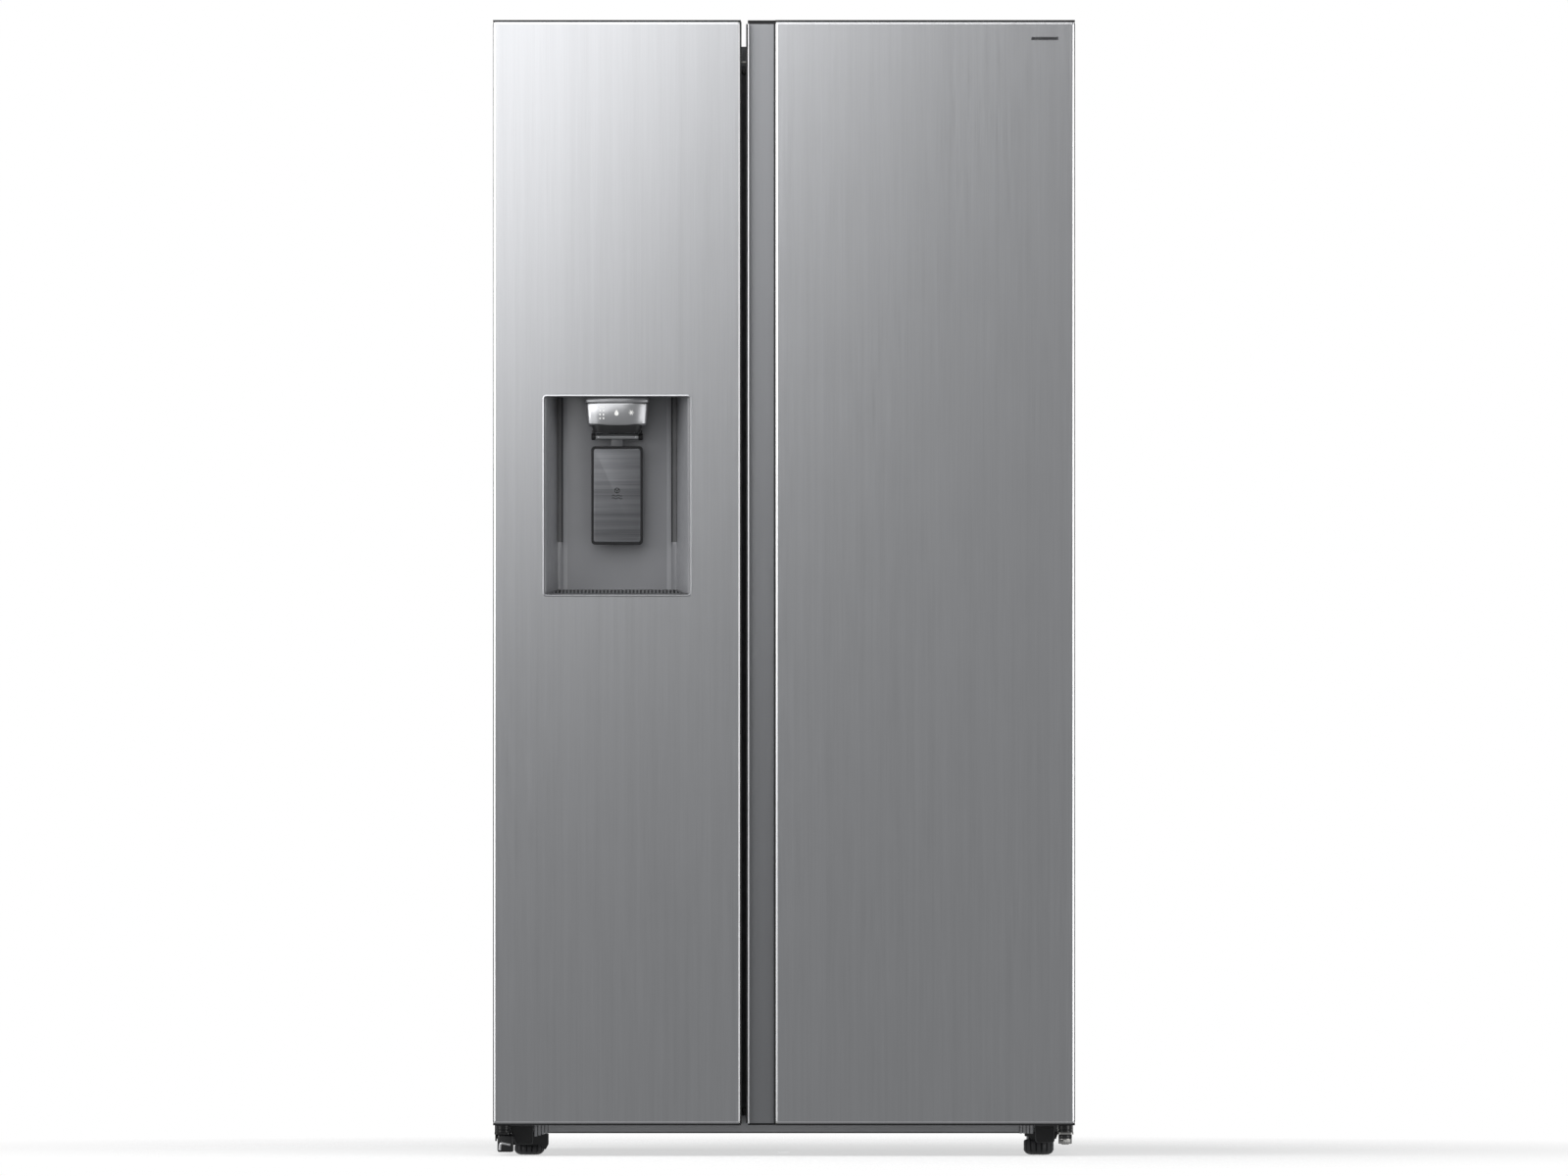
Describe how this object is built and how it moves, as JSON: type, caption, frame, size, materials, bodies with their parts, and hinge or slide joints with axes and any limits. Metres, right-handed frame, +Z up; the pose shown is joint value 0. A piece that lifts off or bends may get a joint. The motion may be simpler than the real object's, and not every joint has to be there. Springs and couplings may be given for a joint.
{
  "type": "side by side refrigerator",
  "caption": "Tall steel refrigerator with a freezer door and a fridge door side by side, a recessed grip between them and an ice and water dispenser.",
  "frame": {"origin": "on the floor, under the middle of the whole object", "axes": "+X to the right seen from the front, +Y to the back, +Z up; the doors face -Y"},
  "size_m": [0.912, 0.716, 1.78],
  "materials": {
    "door_steel": "vertically brushed steel",
    "grip_metal": "satin grey metal",
    "cabinet_paint": "fine textured grey paint",
    "zinc_sheet": "zinc coated sheet",
    "grey_paint": "satin dark grey paint",
    "black_paint": "satin black paint",
    "hinge_steel": "zinc plated steel",
    "aluminium": "plain aluminium fins",
    "white_wire": "white coated wire",
    "white_liner": "smooth vacuum formed plastic",
    "white_plastic": "matte moulded plastic",
    "grey_plastic": "matte moulded plastic",
    "black_plastic": "matte moulded plastic",
    "dispenser_plastic": "satin dark grey plastic",
    "silver_plastic": "silver coated plastic",
    "clear_plastic": "clear moulded plastic",
    "shelf_glass": "toughened glass in a moulded rim",
    "gasket_rubber": "soft grey vinyl",
    "lamp_cover": "frosted lamp cover",
    "foam": "rigid foam"
  },
  "bodies": {
    "cabinet": {"outer_shell": "cabinet_paint", "rear_panel": "zinc_sheet", "bottom_panel": "zinc_sheet", "insulation": "foam", "freezer_liner": "white_liner", "fridge_liner": "white_liner", "centre_rail": "grey_paint", "base_rail": "grey_paint", "machine_cover": "black_plastic", "compressor": "black_paint", "condenser": "black_paint", "fan_shroud": "black_plastic", "drain_pan": "black_plastic", "water_valve": "white_plastic", "power_inlet": "black_plastic", "control_box": "white_plastic", "evaporator": "aluminium", "freezer_duct_cover": "white_liner", "fridge_duct_cover": "white_liner", "top_hinges": "hinge_steel", "hinge_covers": "grey_plastic", "bottom_hinges": "hinge_steel", "leg_brackets": "black_paint", "freezer_shelf_1": "white_wire", "freezer_shelf_2": "white_wire", "fridge_shelf_1": "shelf_glass", "fridge_shelf_2": "shelf_glass", "fridge_shelf_3": "shelf_glass", "ice_maker": "grey_plastic", "ice_bucket": "clear_plastic", "led_lamps": "lamp_cover", "cabinet_screws": "hinge_steel"},
    "freezer_door": {"freezer_door_panel": "door_steel", "freezer_door_core": "foam", "freezer_door_liner": "white_liner", "freezer_door_gasket": "gasket_rubber", "freezer_door_caps": "black_plastic", "freezer_door_bins": "clear_plastic", "dispenser_housing": "dispenser_plastic", "dispenser_head": "silver_plastic", "ice_chute": "white_liner"},
    "fridge_door": {"fridge_door_panel": "door_steel", "fridge_door_core": "foam", "fridge_door_liner": "white_liner", "fridge_door_gasket": "gasket_rubber", "fridge_door_caps": "black_plastic", "fridge_door_bins": "clear_plastic", "fridge_door_grip": "grip_metal"},
    "foot_left": {"foot_left": "black_plastic"},
    "foot_right": {"foot_right": "black_plastic"},
    "rear_roller_left": {"rear_roller_left": "black_plastic"},
    "rear_roller_right": {"rear_roller_right": "black_plastic"},
    "condenser_fan": {"condenser_fan": "black_plastic"},
    "freezer_fan": {"freezer_fan": "black_plastic"},
    "freezer_drawer_upper": {"freezer_drawer_upper": "clear_plastic"},
    "freezer_drawer_lower": {"freezer_drawer_lower": "clear_plastic"},
    "crisper_upper": {"crisper_upper": "clear_plastic"},
    "crisper_lower": {"crisper_lower": "clear_plastic"},
    "drip_tray": {"drip_tray": "dispenser_plastic"},
    "dispenser_paddle": {"dispenser_paddle": "door_steel"}
  },
  "joints": [
    {"name": "freezer_door_hinge", "type": "hinge", "parent": "cabinet", "child": "freezer_door", "pos_m": [-0.441, -0.303, 0.9], "axis": [0, 0, -1], "range_deg": [0, 120]},
    {"name": "fridge_door_hinge", "type": "hinge", "parent": "cabinet", "child": "fridge_door", "pos_m": [0.441, -0.303, 0.9], "axis": [0, 0, 1], "range_deg": [0, 120]},
    {"name": "paddle_pivot", "type": "hinge", "parent": "freezer_door", "child": "dispenser_paddle", "pos_m": [-0.2618, -0.303, 1.1274], "axis": [1, 0, 0], "range_deg": [0, 8], "stiffness_Nm_per_rad": 0.4, "springref_deg": -17.19},
    {"name": "drip_tray_slide", "type": "slide", "parent": "freezer_door", "child": "drip_tray", "axis": [0, -1, 0], "range_m": [0, 0.085]},
    {"name": "freezer_drawer_upper_slide", "type": "slide", "parent": "cabinet", "child": "freezer_drawer_upper", "axis": [0, -1, 0], "range_m": [0, 0.025]},
    {"name": "freezer_drawer_lower_slide", "type": "slide", "parent": "cabinet", "child": "freezer_drawer_lower", "axis": [0, -1, 0], "range_m": [0, 0.025]},
    {"name": "crisper_upper_slide", "type": "slide", "parent": "cabinet", "child": "crisper_upper", "axis": [0, -1, 0], "range_m": [0, 0.025]},
    {"name": "crisper_lower_slide", "type": "slide", "parent": "cabinet", "child": "crisper_lower", "axis": [0, -1, 0], "range_m": [0, 0.025]},
    {"name": "foot_left_turn", "type": "hinge", "parent": "cabinet", "child": "foot_left", "pos_m": [-0.4, -0.222, 0.02], "axis": [0, 0, 1], "continuous": true},
    {"name": "foot_right_turn", "type": "hinge", "parent": "cabinet", "child": "foot_right", "pos_m": [0.4, -0.222, 0.02], "axis": [0, 0, 1], "continuous": true},
    {"name": "rear_roller_left_turn", "type": "hinge", "parent": "cabinet", "child": "rear_roller_left", "pos_m": [-0.4, 0.3, 0.02], "axis": [1, 0, 0], "continuous": true},
    {"name": "rear_roller_right_turn", "type": "hinge", "parent": "cabinet", "child": "rear_roller_right", "pos_m": [0.4, 0.3, 0.02], "axis": [1, 0, 0], "continuous": true},
    {"name": "condenser_fan_spin", "type": "hinge", "parent": "cabinet", "child": "condenser_fan", "pos_m": [0.088, 0.262, 0.152], "axis": [1, 0, 0], "continuous": true},
    {"name": "freezer_fan_spin", "type": "hinge", "parent": "cabinet", "child": "freezer_fan", "pos_m": [-0.245, 0.263, 0.96], "axis": [0, 1, 0], "continuous": true}
  ]
}
